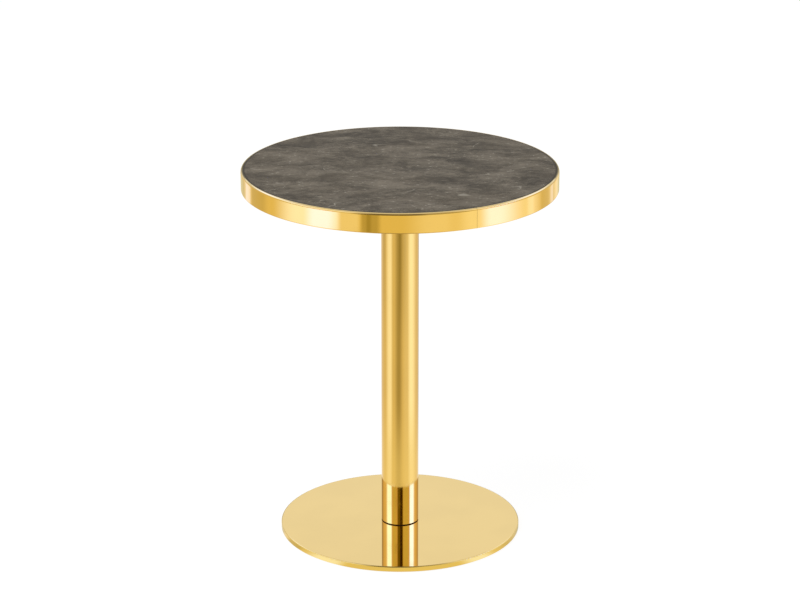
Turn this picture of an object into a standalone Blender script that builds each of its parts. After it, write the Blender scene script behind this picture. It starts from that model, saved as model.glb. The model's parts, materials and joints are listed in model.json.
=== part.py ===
"""Round pedestal table: a stone top in a rolled gold rim, on a tube column and a weighted disc base.

Every piece is built at its real size, in metres, with +Z up and the origin on the floor under the
column. The table comes apart as it would on a bench: a rolled channel holds the stone and its core and
makes the top; a bolted plate carries it on the column; the column is bolted through a sheet cover to a
steel weight, which stands on screw-in levelling glides.
"""

import math

import bmesh
import bpy
from mathutils import Matrix, Vector

MM = 0.001

# Overall sizes
TABLE_HEIGHT = 727.3 * MM
TOP_DIAMETER = 600.0 * MM
COLUMN_DIAMETER = 72.0 * MM
BASE_DIAMETER = 465.0 * MM
BASE_EDGE_HEIGHT = 10.0 * MM
FLOOR_GAP = 1.5 * MM

# Clearances between pieces that touch
SEAT_GAP = 0.3 * MM
SIDE_GAP = 0.3 * MM

# Stone slab
STONE_THICKNESS = 12.0 * MM
STONE_ARRIS = 1.0 * MM

# Board under the stone
CORE_THICKNESS = 24.0 * MM

# Rim, a channel rolled from sheet, turned in over the slab's rebate and under the board
RIM_SHEET = 1.5 * MM
RIM_LIP = 4.4 * MM
RIM_FLANGE = 10.0 * MM
RIM_BEND_INSIDE = 0.5 * MM
RIM_SEAM_WIDTH = 0.4 * MM
RIM_SEAM_BEARING = math.radians(27.5)

# Plate that carries the top
PLATE_WIDTH = 240.0 * MM
PLATE_THICKNESS = 5.0 * MM
PLATE_CORNER = 20.0 * MM
PLATE_ARRIS = 0.6 * MM

# Wood screws, in pairs along each side of the plate
SCREW_DIAMETER = 5.0 * MM
SCREW_POINT = 5.0 * MM
SCREW_HEAD_DIAMETER = 9.5 * MM
SCREW_CROWN_DIAMETER = 5.7 * MM
SCREW_HEAD_HEIGHT = 2.8 * MM
SCREW_EDGE_INSET = 18.0 * MM
SCREW_END_INSET = 55.0 * MM
BOARD_ABOVE_SCREW = 6.0 * MM
PLATE_SIDES = 4

# Column tube, the steel plugs welded into its ends, and the ring it stands on
TUBE_WALL = 1.5 * MM
PLUG_THICKNESS = 12.0 * MM
GASKET_THICKNESS = 1.0 * MM
GASKET_WIDTH = 8.2 * MM
GASKET_INSET = 0.5 * MM

# Countersunk bolts through the plate and the weight into the plugs
BOLT_DIAMETER = 8.0 * MM
BOLT_HEAD_DIAMETER = 16.0 * MM
BOLT_HEAD_RIM = 0.4 * MM
BOLT_SINK = 0.4 * MM
BOLT_CHAMFER = 0.8 * MM
BOLT_SOCKET = 5.0 * MM
BOLT_SOCKET_DEPTH = 2.5 * MM
BOLT_EDGE_INSET = 8.0 * MM
BOLT_COUNT = 3
HEAD_BOLT_LENGTH = 16.0 * MM
FOOT_BOLT_LENGTH = 20.0 * MM

# Base cover, spun from sheet, over a steel weight
COVER_SHEET = 1.2 * MM
COVER_BEND_INSIDE = 0.8 * MM
WEIGHT_RECESS = 1.0 * MM

# Levelling glides, recessed into the weight
GLIDE_COUNT = 4
GLIDE_INSET = 34.0 * MM
GLIDE_BEARING = math.radians(45.0)
PAD_DIAMETER = 26.0 * MM
PAD_CHAMFER = 0.8 * MM
PAD_FLOOR = 0.9 * MM
PAD_LIP = 1.4 * MM
PAD_KEY_HOLE = 9.0 * MM
PAD_POCKET_GAP = 1.0 * MM
STUD_DIAMETER = 8.0 * MM
STUD_CHAMFER = 0.8 * MM
STUD_FLANGE_DIAMETER = 14.0 * MM
STUD_FLANGE_HEIGHT = 1.1 * MM
STUD_SOCKET = 4.0 * MM
STUD_SOCKET_DEPTH = 2.5 * MM

# Facets
DISC_SEGMENTS = 80
TUBE_SEGMENTS = 48
SMALL_SEGMENTS = 20
SCREW_SEGMENTS = 12
LIP_STEPS = 3
BEND_STEPS = 3
CORNER_STEPS = 4
ROUND_PROFILE = 0.5
HEX_SIDES = 6
MERGE_DISTANCE = 0.01 * MM
SHARP_ANGLE = math.radians(35.0)
CUT_OVERSHOOT = 2.0 * MM

# Radii that several pieces share
TOP_RADIUS = TOP_DIAMETER / 2
LIP_RADIUS = TOP_RADIUS - RIM_LIP
STONE_RADIUS = TOP_RADIUS - RIM_SHEET - SIDE_GAP
TUBE_RADIUS = COLUMN_DIAMETER / 2
BORE_RADIUS = TUBE_RADIUS - TUBE_WALL
GASKET_RADIUS = TUBE_RADIUS - GASKET_INSET
BOSS_RADIUS = GASKET_RADIUS - GASKET_WIDTH - SIDE_GAP
BOLT_CIRCLE_RADIUS = BOSS_RADIUS - BOLT_EDGE_INSET
BASE_RADIUS = BASE_DIAMETER / 2

# Heights, worked up from the floor
COVER_TOP = FLOOR_GAP + BASE_EDGE_HEIGHT
COVER_UNDER = COVER_TOP - COVER_SHEET
WEIGHT_TOP = COVER_UNDER - SEAT_GAP
WEIGHT_UNDER = FLOOR_GAP + WEIGHT_RECESS
PAD_GROOVE_TOP = PAD_FLOOR + STUD_FLANGE_HEIGHT + 2 * SEAT_GAP
PAD_TOP = PAD_GROOVE_TOP + PAD_LIP
GASKET_UNDER = COVER_TOP + SEAT_GAP
GASKET_TOP = GASKET_UNDER + GASKET_THICKNESS
TUBE_FOOT = GASKET_TOP + SEAT_GAP

# Heights, worked down from the table's surface
LIP_CENTRE = TABLE_HEIGHT - RIM_LIP
STONE_UNDER = TABLE_HEIGHT - STONE_THICKNESS
CORE_TOP = STONE_UNDER - SEAT_GAP
CORE_UNDER = CORE_TOP - CORE_THICKNESS
RIM_UNDER = CORE_UNDER - SEAT_GAP - RIM_SHEET
PLATE_TOP = CORE_UNDER - SEAT_GAP
PLATE_UNDER = PLATE_TOP - PLATE_THICKNESS
TUBE_HEAD = PLATE_UNDER - SEAT_GAP
SCREW_LENGTH = CORE_TOP - BOARD_ABOVE_SCREW - PLATE_UNDER


def clear_scene():
    """Removes every object, so that the script starts from an empty scene."""
    for old in list(bpy.data.objects):
        bpy.data.objects.remove(old, do_unlink=True)


def new_collection(name):
    """Adds a collection to the scene."""
    collection = bpy.data.collections.new(name)
    bpy.context.scene.collection.children.link(collection)
    return collection


def new_material(name, colour, roughness, metallic):
    """A Principled material of one linear colour."""
    material = bpy.data.materials.new(name)
    material.use_nodes = True
    shader = material.node_tree.nodes["Principled BSDF"]
    shader.inputs["Base Color"].default_value = (*colour, 1.0)
    shader.inputs["Roughness"].default_value = roughness
    shader.inputs["Metallic"].default_value = metallic
    material.diffuse_color = (*colour, 1.0)
    return material


clear_scene()
PARTS = new_collection("round_pedestal_table")
CUTTERS = new_collection("cutters")

STONE = new_material("honed_stone", (0.135, 0.117, 0.098), 0.35, 0.0)
RIM_GOLD = new_material("rim_gold", (0.75, 0.47, 0.11), 0.10, 1.0)
COLUMN_GOLD = new_material("column_gold", (0.75, 0.46, 0.11), 0.10, 1.0)
BASE_GOLD = new_material("base_gold", (0.81, 0.64, 0.30), 0.06, 1.0)
BOARD = new_material("sealed_board", (0.030, 0.026, 0.023), 0.70, 0.0)
BLACK_COAT = new_material("black_coat", (0.020, 0.020, 0.021), 0.50, 0.0)
BARE_STEEL = new_material("bare_steel", (0.42, 0.41, 0.39), 0.40, 1.0)
ZINC = new_material("zinc_plate", (0.62, 0.62, 0.60), 0.30, 1.0)
BLACK_RUBBER = new_material("black_rubber", (0.018, 0.017, 0.016), 0.75, 0.0)
BLACK_NYLON = new_material("black_nylon", (0.022, 0.022, 0.022), 0.55, 0.0)


def new_empty(name, parent, place):
    """An empty that carries other pieces."""
    empty = bpy.data.objects.new(name, None)
    PARTS.objects.link(empty)
    empty.parent = parent
    empty.location = place
    return empty


TABLE = new_empty("table", None, (0.0, 0.0, 0.0))


def shade_round(mesh):
    """Smooth shading, with edges past the sharp angle kept crisp."""
    mesh.shade_smooth()
    mesh.set_sharp_from_angle(angle=SHARP_ANGLE)


def add_piece(name, mesh, material, parent=TABLE, place=(0.0, 0.0, 0.0)):
    """Puts a mesh into the table as one named piece."""
    piece = bpy.data.objects.new(name, mesh)
    PARTS.objects.link(piece)
    piece.parent = parent
    piece.location = place
    if not mesh.materials:
        mesh.materials.append(material)
    return piece


def add_cutter(name, mesh):
    """Puts a mesh among the cutters, which aren't part of the table."""
    cutter = bpy.data.objects.new(name, mesh)
    CUTTERS.objects.link(cutter)
    cutter.hide_render = True
    cutter.display_type = "WIRE"
    return cutter


def evaluated_mesh(piece):
    """A piece's mesh with its modifiers in it."""
    bpy.context.view_layer.update()
    depsgraph = bpy.context.evaluated_depsgraph_get()
    return bpy.data.meshes.new_from_object(piece.evaluated_get(depsgraph))


def turned_mesh(name, outline, segments):
    """Turns an outline of (radius, height) points about Z.

    The outline runs down the outer side. It closes on itself unless it starts and ends on the axis.
    """
    points = [(radius, 0.0, height) for radius, height in outline]
    edges = [(i, i + 1) for i in range(len(points) - 1)]
    if outline[0][0] > 0.0:
        edges.append((len(points) - 1, 0))
    profile = bpy.data.meshes.new(name)
    profile.from_pydata(points, edges, [])
    lathe = bpy.data.objects.new(name, profile)
    CUTTERS.objects.link(lathe)
    turn = lathe.modifiers.new("turn", "SCREW")
    turn.angle = math.tau
    turn.steps = segments
    turn.render_steps = segments
    turn.use_merge_vertices = True
    turn.merge_threshold = MERGE_DISTANCE
    mesh = evaluated_mesh(lathe)
    bpy.data.objects.remove(lathe)
    shade_round(mesh)
    return mesh


def disc_mesh(name, radius, under, top, segments=DISC_SEGMENTS):
    """A flat round plate between two heights."""
    shape = bmesh.new()
    middle = Matrix.Translation((0.0, 0.0, (under + top) / 2))
    bmesh.ops.create_cone(
        shape, cap_ends=True, segments=segments, radius1=radius, radius2=radius,
        depth=top - under, matrix=middle,
    )
    mesh = bpy.data.meshes.new(name)
    shape.to_mesh(mesh)
    shape.free()
    shade_round(mesh)
    return mesh


def copies_mesh(name, mesh, matrices):
    """One mesh that holds a copy of another at each matrix."""
    shape = bmesh.new()
    for matrix in matrices:
        copy = mesh.copy()
        copy.transform(matrix)
        shape.from_mesh(copy)
        bpy.data.meshes.remove(copy)
    joined = bpy.data.meshes.new(name)
    shape.to_mesh(joined)
    shape.free()
    return joined


def cut(piece, *cutters):
    """Cuts a piece with each cutter."""
    for cutter in cutters:
        boolean = piece.modifiers.new(cutter.name, "BOOLEAN")
        boolean.operation = "DIFFERENCE"
        boolean.solver = "EXACT"
        boolean.object = cutter
    return piece


def ease_edges(piece, width):
    """Bevels a piece's sharp edges."""
    bevel = piece.modifiers.new("eased_edges", "BEVEL")
    bevel.width = width
    bevel.segments = 1
    bevel.limit_method = "ANGLE"
    bevel.angle_limit = SHARP_ANGLE
    return piece


def arc(centre, radius, start_degrees, end_degrees, steps):
    """Points on an arc in the (radius, height) plane."""
    turns = [start_degrees + (end_degrees - start_degrees) * i / steps for i in range(steps + 1)]
    return [
        (
            centre[0] + radius * math.cos(math.radians(turn)),
            centre[1] + radius * math.sin(math.radians(turn)),
        )
        for turn in turns
    ]


def round_places(count, radius, start_bearing, height):
    """Places spaced evenly on a circle, with bearings counted from +X."""
    bearings = [start_bearing + math.tau * i / count for i in range(count)]
    return [Vector((radius * math.cos(b), radius * math.sin(b), height)) for b in bearings]


# Stone slab and core


def build_stone_top():
    """The slab, rebated round its upper edge so that the rim's lip lies level with it."""
    rebate = LIP_RADIUS - SIDE_GAP
    rounding = RIM_LIP - RIM_SHEET - SIDE_GAP
    outline = [
        (0.0, TABLE_HEIGHT),
        (rebate, TABLE_HEIGHT),
        (rebate, LIP_CENTRE + rounding),
        *arc((LIP_RADIUS, LIP_CENTRE), rounding, 90.0, 0.0, LIP_STEPS),
        (STONE_RADIUS, STONE_UNDER + STONE_ARRIS),
        (STONE_RADIUS - STONE_ARRIS, STONE_UNDER),
        (0.0, STONE_UNDER),
    ]
    return add_piece("stone_top", turned_mesh("stone_top", outline, DISC_SEGMENTS), STONE)


def build_top_core(screw_holes):
    """The board that stiffens the stone and takes the wood screws."""
    mesh = disc_mesh("top_core", STONE_RADIUS, CORE_UNDER, CORE_TOP)
    piece = ease_edges(add_piece("top_core", mesh, BOARD), RIM_BEND_INSIDE)
    return cut(piece, screw_holes)


# Rim


def build_rim_band():
    """The rolled channel: a lip turned in over the slab, a plain wall, and a flange under the board."""
    lip_centre = (LIP_RADIUS, LIP_CENTRE)
    bend_outside = RIM_BEND_INSIDE + RIM_SHEET
    bend_centre = (TOP_RADIUS - bend_outside, RIM_UNDER + bend_outside)
    outline = [
        *arc(lip_centre, RIM_LIP, 90.0, 0.0, LIP_STEPS),
        *arc(bend_centre, bend_outside, 0.0, -90.0, BEND_STEPS),
        (TOP_RADIUS - RIM_FLANGE, RIM_UNDER),
        (TOP_RADIUS - RIM_FLANGE, RIM_UNDER + RIM_SHEET),
        *arc(bend_centre, RIM_BEND_INSIDE, -90.0, 0.0, 1),
        *arc(lip_centre, RIM_LIP - RIM_SHEET, 0.0, 90.0, LIP_STEPS),
    ]
    band = add_piece("rim_band", turned_mesh("rim_band", outline, DISC_SEGMENTS), RIM_GOLD)
    return cut(band, build_seam_cutter())


def build_seam_cutter():
    """The hairline butt joint where the band's two ends meet, counted from the front towards +X."""
    depth = RIM_FLANGE + 2 * CUT_OVERSHOOT
    height = TABLE_HEIGHT - RIM_UNDER + 2 * CUT_OVERSHOOT
    middle = Vector((0.0, -(TOP_RADIUS - RIM_FLANGE / 2), (TABLE_HEIGHT + RIM_UNDER) / 2))
    shape = bmesh.new()
    bmesh.ops.create_cube(shape, size=1.0)
    bmesh.ops.scale(shape, vec=(RIM_SEAM_WIDTH, depth, height), verts=shape.verts)
    bmesh.ops.translate(shape, vec=middle, verts=shape.verts)
    bmesh.ops.rotate(
        shape, cent=(0.0, 0.0, 0.0), matrix=Matrix.Rotation(RIM_SEAM_BEARING, 3, "Z"),
        verts=shape.verts,
    )
    mesh = bpy.data.meshes.new("rim_seam")
    shape.to_mesh(mesh)
    shape.free()
    return add_cutter("rim_seam", mesh)


# Countersunk bolts


def bolt_outline(length, clearance=0.0):
    """A countersunk bolt that points up from its head, or its hole when given a clearance."""
    shank = BOLT_DIAMETER / 2
    head = BOLT_HEAD_DIAMETER / 2
    cone_top = BOLT_HEAD_RIM + head - shank
    if clearance == 0.0:
        return [
            (0.0, length),
            (shank - BOLT_CHAMFER, length),
            (shank, length - BOLT_CHAMFER),
            (shank, cone_top),
            (head, BOLT_HEAD_RIM),
            (head, 0.0),
            (0.0, 0.0),
        ]
    lift = clearance * (math.sqrt(2.0) - 1.0)
    end = length + CUT_OVERSHOOT
    return [
        (0.0, end),
        (shank + clearance, end),
        (shank + clearance, cone_top + lift),
        (head + clearance, BOLT_HEAD_RIM + lift),
        (head + clearance, -CUT_OVERSHOOT),
        (0.0, -CUT_OVERSHOOT),
    ]


def hex_socket_cutter(name, across_flats, depth):
    """A hexagonal key socket that opens downwards at the origin."""
    radius = across_flats / 2 / math.cos(math.pi / HEX_SIDES)
    return add_cutter(name, disc_mesh(name, radius, -CUT_OVERSHOOT, depth, HEX_SIDES))


def bolt_mesh(name, length):
    """A bolt with its key socket cut, ready to be shared by every copy."""
    blank = add_piece(name, turned_mesh(name, bolt_outline(length), SCREW_SEGMENTS), ZINC)
    socket = hex_socket_cutter(name + "_socket", BOLT_SOCKET, BOLT_SOCKET_DEPTH)
    mesh = evaluated_mesh(cut(blank, socket))
    bpy.data.objects.remove(blank)
    bpy.data.objects.remove(socket)
    return mesh


def bolt_matrices(head_height, points_down):
    """Where each bolt of a set stands: its head's face, turned over when the bolt points down."""
    flip = Matrix.Rotation(math.pi if points_down else 0.0, 4, "X")
    places = round_places(BOLT_COUNT, BOLT_CIRCLE_RADIUS, math.pi / 2, head_height)
    return [Matrix.Translation(place) @ flip for place in places]


def build_bolts(name, length, matrices):
    """The bolts of one set, and the cutter that makes room for them."""
    mesh = bolt_mesh(name, length)
    for number, matrix in enumerate(matrices, 1):
        bolt = add_piece(f"{name}_{number}", mesh, ZINC)
        bolt.matrix_local = matrix
    hole = turned_mesh(name + "_hole", bolt_outline(length, SIDE_GAP), SMALL_SEGMENTS)
    return add_cutter(name + "_holes", copies_mesh(name + "_holes", hole, matrices))


# Mounting plate and its wood screws


def screw_places():
    """Two screws along each side of the plate, with the screw's head against its underside."""
    across = PLATE_WIDTH / 2 - SCREW_EDGE_INSET
    along = PLATE_WIDTH / 2 - SCREW_END_INSET
    side_pair = [Vector((x, across, PLATE_UNDER)) for x in (-along, along)]
    turns = [Matrix.Rotation(math.tau * side / PLATE_SIDES, 3, "Z") for side in range(PLATE_SIDES)]
    return [turn @ place for turn in turns for place in side_pair]


def build_plate_screws():
    """The wood screws, and the cutter that makes their pilot holes."""
    shank = SCREW_DIAMETER / 2
    head = SCREW_HEAD_DIAMETER / 2
    crown = SCREW_CROWN_DIAMETER / 2
    outline = [
        (0.0, SCREW_LENGTH),
        (shank, SCREW_LENGTH - SCREW_POINT),
        (shank, -SEAT_GAP),
        (head, -SEAT_GAP),
        (head, -SEAT_GAP - SCREW_HEAD_HEIGHT / 2),
        (crown, -SEAT_GAP - SCREW_HEAD_HEIGHT),
        (0.0, -SEAT_GAP - SCREW_HEAD_HEIGHT),
    ]
    mesh = turned_mesh("plate_screw", outline, SCREW_SEGMENTS)
    places = screw_places()
    for number, place in enumerate(places, 1):
        add_piece(f"plate_screw_{number}", mesh, ZINC, place=place)
    hole = disc_mesh(
        "screw_hole", shank + SIDE_GAP, -CUT_OVERSHOOT, SCREW_LENGTH + SEAT_GAP, SCREW_SEGMENTS,
    )
    matrices = [Matrix.Translation(place) for place in places]
    return add_cutter("screw_holes", copies_mesh("screw_holes", hole, matrices))


def build_mounting_plate(*holes):
    """A square steel plate with round corners."""
    shape = bmesh.new()
    bmesh.ops.create_cube(shape, size=1.0)
    bmesh.ops.scale(shape, vec=(PLATE_WIDTH, PLATE_WIDTH, PLATE_THICKNESS), verts=shape.verts)
    upright = [e for e in shape.edges if abs(e.verts[0].co.z - e.verts[1].co.z) > PLATE_THICKNESS / 2]
    bmesh.ops.bevel(
        shape, geom=upright, offset=PLATE_CORNER, segments=CORNER_STEPS, profile=ROUND_PROFILE,
        affect="EDGES",
    )
    bmesh.ops.translate(shape, vec=(0.0, 0.0, (PLATE_TOP + PLATE_UNDER) / 2), verts=shape.verts)
    mesh = bpy.data.meshes.new("mounting_plate")
    shape.to_mesh(mesh)
    shape.free()
    shade_round(mesh)
    plate = ease_edges(add_piece("mounting_plate", mesh, BLACK_COAT), PLATE_ARRIS)
    return cut(plate, *holes)


# Column


def build_column_tube():
    """The plain round tube."""
    outline = [
        (BORE_RADIUS, TUBE_HEAD),
        (TUBE_RADIUS, TUBE_HEAD),
        (TUBE_RADIUS, TUBE_FOOT),
        (BORE_RADIUS, TUBE_FOOT),
    ]
    return add_piece("column_tube", turned_mesh("column_tube", outline, TUBE_SEGMENTS), COLUMN_GOLD)


def build_head_plug(bolt_holes):
    """The disc in the tube's upper end, level with it."""
    radius = BORE_RADIUS - SIDE_GAP
    mesh = disc_mesh("head_plug", radius, TUBE_HEAD - PLUG_THICKNESS, TUBE_HEAD, TUBE_SEGMENTS)
    return cut(add_piece("head_plug", mesh, BARE_STEEL), bolt_holes)


def build_foot_plug(bolt_holes):
    """The disc in the tube's foot, with a boss that reaches down through the cover to the weight."""
    radius = BORE_RADIUS - SIDE_GAP
    outline = [
        (0.0, TUBE_FOOT + PLUG_THICKNESS),
        (radius, TUBE_FOOT + PLUG_THICKNESS),
        (radius, TUBE_FOOT),
        (BOSS_RADIUS, TUBE_FOOT),
        (BOSS_RADIUS, WEIGHT_TOP + SEAT_GAP),
        (0.0, WEIGHT_TOP + SEAT_GAP),
    ]
    piece = add_piece("foot_plug", turned_mesh("foot_plug", outline, TUBE_SEGMENTS), BARE_STEEL)
    return cut(piece, bolt_holes)


def build_column_gasket():
    """The thin ring that keeps the tube's edge off the polished cover."""
    inner = GASKET_RADIUS - GASKET_WIDTH
    outline = [
        (inner, GASKET_TOP),
        (GASKET_RADIUS, GASKET_TOP),
        (GASKET_RADIUS, GASKET_UNDER),
        (inner, GASKET_UNDER),
    ]
    mesh = turned_mesh("column_gasket", outline, TUBE_SEGMENTS)
    return add_piece("column_gasket", mesh, BLACK_RUBBER)


# Base


def build_base_cover():
    """The spun cover: a flat top with a hole for the boss, and a skirt turned down at its edge."""
    bend_outside = COVER_BEND_INSIDE + COVER_SHEET
    bend_centre = (BASE_RADIUS - bend_outside, COVER_TOP - bend_outside)
    hole = BOSS_RADIUS + SIDE_GAP
    outline = [
        (hole, COVER_TOP),
        *arc(bend_centre, bend_outside, 90.0, 0.0, BEND_STEPS),
        (BASE_RADIUS, FLOOR_GAP),
        (BASE_RADIUS - COVER_SHEET, FLOOR_GAP),
        *arc(bend_centre, COVER_BEND_INSIDE, 0.0, 90.0, 1),
        (hole, COVER_UNDER),
    ]
    return add_piece("base_cover", turned_mesh("base_cover", outline, DISC_SEGMENTS), BASE_GOLD)


def build_base_weight(*holes):
    """The steel disc that fills the cover."""
    radius = BASE_RADIUS - COVER_SHEET - SIDE_GAP
    mesh = disc_mesh("base_weight", radius, WEIGHT_UNDER, WEIGHT_TOP)
    return cut(ease_edges(add_piece("base_weight", mesh, BLACK_COAT), COVER_BEND_INSIDE), *holes)


# Levelling glides


def pad_mesh():
    """A moulded pad that snaps round the stud's flange, with a hole below for the key."""
    outer = PAD_DIAMETER / 2
    key_hole = PAD_KEY_HOLE / 2
    groove = STUD_FLANGE_DIAMETER / 2 + SIDE_GAP
    lip = STUD_DIAMETER / 2 + 2 * SIDE_GAP
    outline = [
        (lip, PAD_TOP),
        (outer, PAD_TOP),
        (outer, PAD_CHAMFER),
        (outer - PAD_CHAMFER, 0.0),
        (key_hole, 0.0),
        (key_hole, PAD_FLOOR),
        (groove, PAD_FLOOR),
        (groove, PAD_GROOVE_TOP),
        (lip, PAD_GROOVE_TOP),
    ]
    return turned_mesh("glide_pad", outline, SMALL_SEGMENTS)


def stud_mesh():
    """A threaded stud with a flange that turns in the pad, and a key socket in its lower end."""
    flange_under = PAD_FLOOR + SEAT_GAP
    flange_top = flange_under + STUD_FLANGE_HEIGHT
    end = WEIGHT_TOP - SEAT_GAP
    shank = STUD_DIAMETER / 2
    flange = STUD_FLANGE_DIAMETER / 2
    outline = [
        (0.0, end),
        (shank - STUD_CHAMFER, end),
        (shank, end - STUD_CHAMFER),
        (shank, flange_top),
        (flange, flange_top),
        (flange, flange_under),
        (0.0, flange_under),
    ]
    blank = add_piece("glide_stud", turned_mesh("glide_stud", outline, SCREW_SEGMENTS), ZINC)
    socket = hex_socket_cutter("stud_socket", STUD_SOCKET, flange_under + STUD_SOCKET_DEPTH)
    mesh = evaluated_mesh(cut(blank, socket))
    bpy.data.objects.remove(blank)
    bpy.data.objects.remove(socket)
    return mesh


def build_glides():
    """Each glide stands on its own empty, on its screw's axis. Returns the cutter for the weight."""
    pad = pad_mesh()
    stud = stud_mesh()
    places = round_places(GLIDE_COUNT, BASE_RADIUS - GLIDE_INSET, GLIDE_BEARING, 0.0)
    for number, place in enumerate(places, 1):
        axis = new_empty(f"glide_{number}", TABLE, place)
        add_piece(f"glide_pad_{number}", pad, BLACK_NYLON, parent=axis)
        add_piece(f"glide_stud_{number}", stud, ZINC, parent=axis)
    bore = STUD_DIAMETER / 2 + SIDE_GAP
    pocket = PAD_DIAMETER / 2 + PAD_POCKET_GAP
    pocket_top = PAD_TOP + SEAT_GAP
    outline = [
        (0.0, COVER_TOP),
        (bore, COVER_TOP),
        (bore, pocket_top),
        (pocket, pocket_top),
        (pocket, -CUT_OVERSHOOT),
        (0.0, -CUT_OVERSHOOT),
    ]
    hole = turned_mesh("glide_hole", outline, SMALL_SEGMENTS)
    matrices = [Matrix.Translation(place) for place in places]
    return add_cutter("glide_holes", copies_mesh("glide_holes", hole, matrices))


def build_table():
    """Builds the fasteners first, because their cutters make the holes in the pieces they pass through."""
    screw_holes = build_plate_screws()
    head_holes = build_bolts("head_bolt", HEAD_BOLT_LENGTH, bolt_matrices(PLATE_TOP - BOLT_SINK, True))
    foot_holes = build_bolts("foot_bolt", FOOT_BOLT_LENGTH, bolt_matrices(WEIGHT_UNDER + BOLT_SINK, False))
    glide_holes = build_glides()
    build_stone_top()
    build_rim_band()
    build_top_core(screw_holes)
    build_mounting_plate(screw_holes, head_holes)
    build_column_tube()
    build_head_plug(head_holes)
    build_foot_plug(foot_holes)
    build_column_gasket()
    build_base_cover()
    build_base_weight(foot_holes, glide_holes)


build_table()
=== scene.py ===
"""Dresses the round pedestal table: a stone slab in a gold rim, on a gold column and a mirror-gold base.

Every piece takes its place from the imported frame, in metres, with +Z up and the front at -Y. The pieces
that show are lofted ring by ring, fine enough for a mirror finish, and stand for the plainer solids.
"""

import json
import logging
import math
from collections.abc import Callable, Sequence
from dataclasses import dataclass
from enum import Enum
from functools import cache, partial, reduce

import bmesh
import bpy
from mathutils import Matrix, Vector

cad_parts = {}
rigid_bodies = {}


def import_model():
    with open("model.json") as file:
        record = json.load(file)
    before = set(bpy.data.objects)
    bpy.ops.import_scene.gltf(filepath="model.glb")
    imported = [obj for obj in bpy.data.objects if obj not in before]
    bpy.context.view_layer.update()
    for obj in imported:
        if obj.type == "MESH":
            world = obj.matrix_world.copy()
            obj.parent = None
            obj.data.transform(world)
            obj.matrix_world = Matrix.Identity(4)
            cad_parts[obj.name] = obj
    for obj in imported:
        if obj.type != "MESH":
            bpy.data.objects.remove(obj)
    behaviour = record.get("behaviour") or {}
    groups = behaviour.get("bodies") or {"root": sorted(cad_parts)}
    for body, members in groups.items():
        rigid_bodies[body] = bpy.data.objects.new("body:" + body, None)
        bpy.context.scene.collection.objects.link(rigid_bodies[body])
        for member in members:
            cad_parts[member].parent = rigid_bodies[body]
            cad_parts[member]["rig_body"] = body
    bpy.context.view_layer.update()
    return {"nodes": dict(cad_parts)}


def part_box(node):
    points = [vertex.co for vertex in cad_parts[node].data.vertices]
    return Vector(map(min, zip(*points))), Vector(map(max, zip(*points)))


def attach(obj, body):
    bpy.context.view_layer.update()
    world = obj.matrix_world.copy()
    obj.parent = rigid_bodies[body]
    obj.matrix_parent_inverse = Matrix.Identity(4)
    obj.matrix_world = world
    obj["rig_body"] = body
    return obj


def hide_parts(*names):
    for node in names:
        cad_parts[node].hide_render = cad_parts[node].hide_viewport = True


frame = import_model()

log = logging.getLogger("round_pedestal_table")

TABLE_BODY = "table"
MM = 0.001

# How finely the pieces are lofted: sides of a ring, degrees from point to point of an arc
WIDE_SIDES = 360
COLUMN_SIDES = 192
SMALL_SIDES = 48
LIP_STEP = 4.0
ARC_STEP = 7.5
HEAD_STEP = 11.25
SMALL_STEP = 15.0
EASE_STEP = 22.5
TINY_STEP = 30.0

# Rings in one turn of a thread, the least angle of a sharp edge, and what counts as one point
THREAD_STEPS = 8
SHARP_ANGLE = math.radians(32.0)
WELD = 1e-7

Node = bpy.types.Node
Socket = bpy.types.NodeSocket
Mesh = bpy.types.Mesh
Object = bpy.types.Object
Colour = tuple[float, float, float]
Pair = tuple[float, float]
Point = Pair
Ring = Callable[[float], Point]


# Shader graphs


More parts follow.
